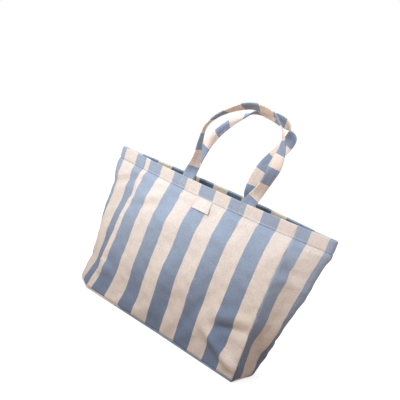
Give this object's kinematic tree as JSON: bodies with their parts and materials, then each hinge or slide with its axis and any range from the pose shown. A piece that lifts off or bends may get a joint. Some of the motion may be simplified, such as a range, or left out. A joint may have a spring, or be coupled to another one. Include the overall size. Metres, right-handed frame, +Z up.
{
  "type": "striped canvas tote bag",
  "caption": "Wide open-topped canvas bag with folding end gussets, a flat base, a turned-in hem, two band handles and a blank sewn label.",
  "frame": {"origin": "middle of the base's underside", "axes": "+Z up from the base to the mouth, +X to the bag's right seen from the label side, -Y out of the label side"},
  "size_m": [0.5178, 0.157, 0.4991],
  "materials": {
    "striped_canvas": "heavy plain-weave cotton canvas in wide blue and cream stripes, matt",
    "base_canvas": "the same canvas with its stripes running lengthwise, matt",
    "handle_canvas": "folded canvas band, striped across, matt",
    "seam_tape": "cotton tape, matt",
    "thread": "twisted cotton sewing thread, slight sheen",
    "label_cloth": "smooth blank cotton label, matt"
  },
  "bodies": {
    "bag": {"front_panel": "striped_canvas", "back_panel": "striped_canvas", "left_gusset": "striped_canvas", "right_gusset": "striped_canvas", "base_panel": "base_canvas", "base_seam_binding": "seam_tape", "front_left_seam_binding": "seam_tape", "front_right_seam_binding": "seam_tape", "back_left_seam_binding": "seam_tape", "back_right_seam_binding": "seam_tape", "front_handle_left_sewn_end": "handle_canvas", "front_handle_right_sewn_end": "handle_canvas", "back_handle_left_sewn_end": "handle_canvas", "back_handle_right_sewn_end": "handle_canvas", "front_handle_left_box_stitch": "thread", "front_handle_right_box_stitch": "thread", "back_handle_left_box_stitch": "thread", "back_handle_right_box_stitch": "thread", "hem_topstitch": "thread", "label_tab": "label_cloth", "label_stitch": "thread"},
    "front_loop": {"front_handle": "handle_canvas"},
    "back_loop": {"back_handle": "handle_canvas"},
    "label": {"label_flap": "label_cloth"}
  },
  "joints": [
    {"name": "front_handle_fold", "type": "hinge", "parent": "bag", "child": "front_loop", "pos_m": [0.005, -0.022, 0.316], "axis": [1, 0, 0], "range_deg": [0, 150]},
    {"name": "back_handle_fold", "type": "hinge", "parent": "bag", "child": "back_loop", "pos_m": [-0.013, 0.022, 0.316], "axis": [-1, 0, 0], "range_deg": [0, 150]},
    {"name": "label_lift", "type": "hinge", "parent": "bag", "child": "label", "pos_m": [-0.01, -0.0293, 0.2871], "axis": [-1, 0, 0], "range_deg": [0, 100]}
  ]
}
